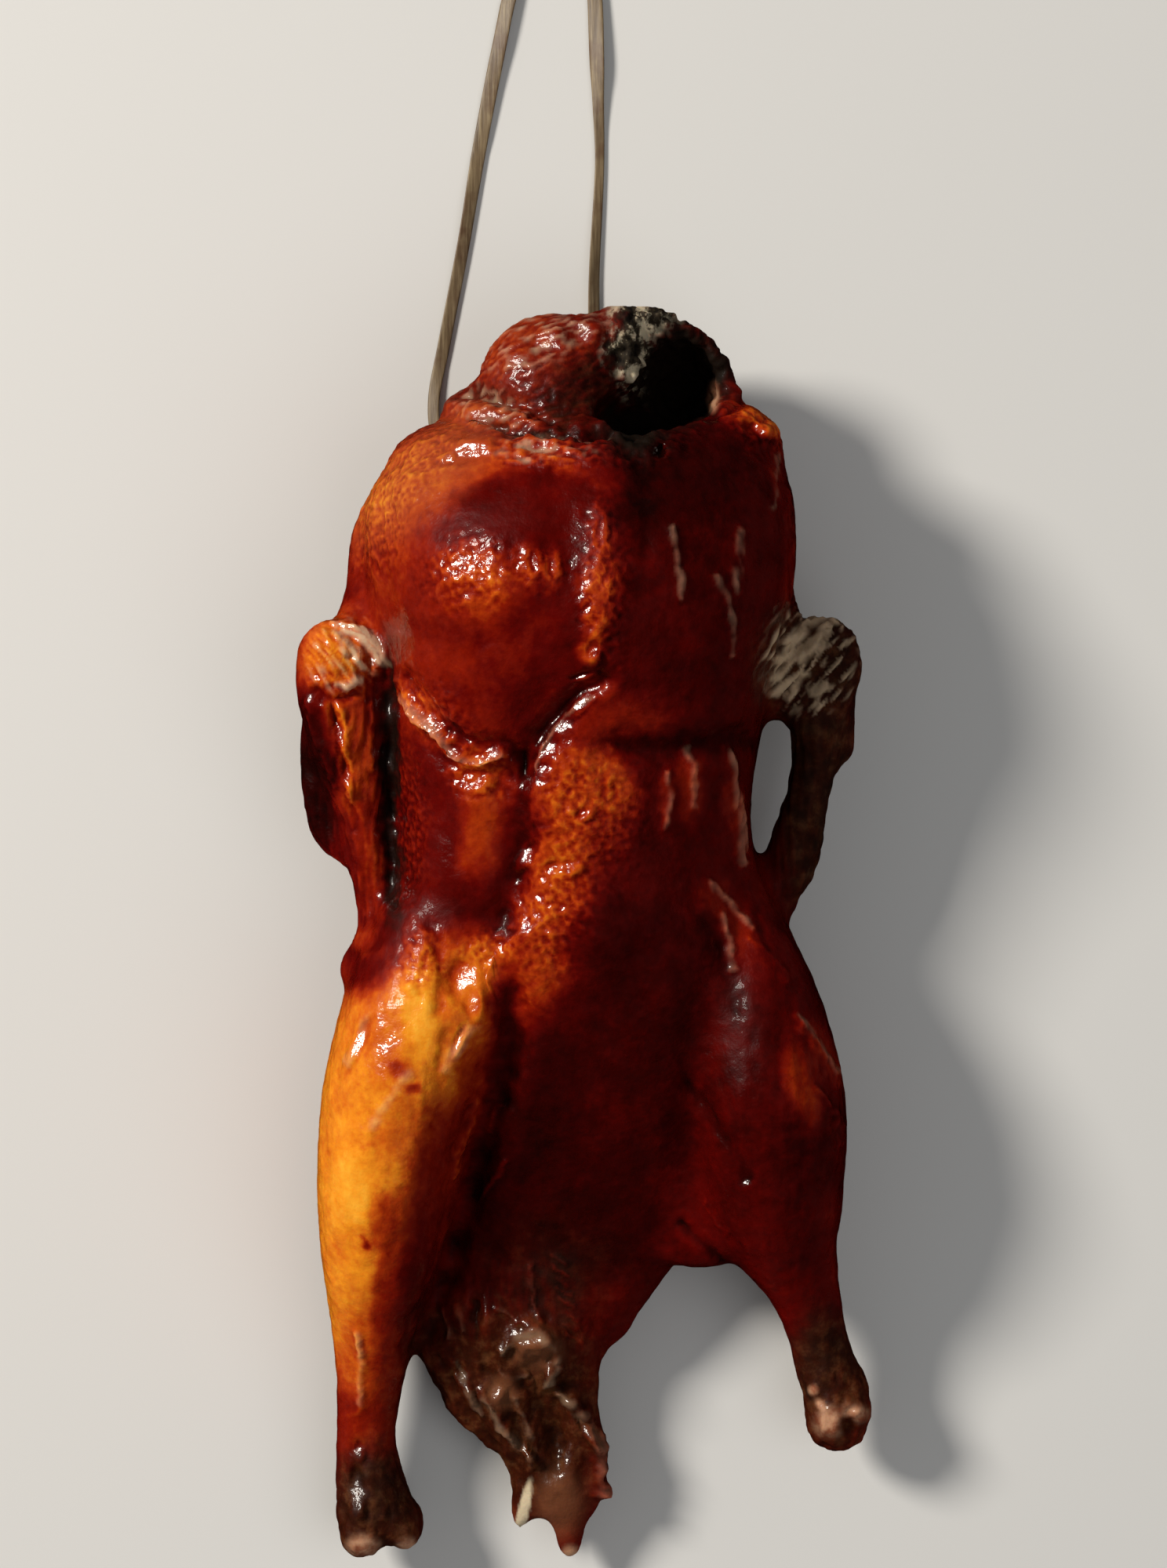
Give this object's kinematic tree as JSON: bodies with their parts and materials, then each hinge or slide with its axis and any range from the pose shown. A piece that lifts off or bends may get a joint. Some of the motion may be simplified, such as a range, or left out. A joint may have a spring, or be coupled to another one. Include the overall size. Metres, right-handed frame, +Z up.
{
  "type": "roast duck",
  "caption": "Whole roast duck with glazed skin, open neck, wings, legs and tail, lying on its back with the looped cord it hangs by.",
  "frame": {"origin": "middle of the duck's box in plan, on the surface that its back lies on", "axes": "+Y from the tail to the neck, +X to the right of someone who looks down on the breast, +Z up out of the breast"},
  "size_m": [0.2066, 0.6118, 0.1249],
  "materials": {
    "roast_skin": "glossy mahogany glaze with amber and orange patches, charred at the neck",
    "cord_fibre": "pale flat plant fibre, stained brown near the meat"
  },
  "bodies": {
    "root": {"duck": "roast_skin", "cord_left": "cord_fibre", "cord_right": "cord_fibre", "cord_knot": "cord_fibre"}
  },
  "joints": []
}
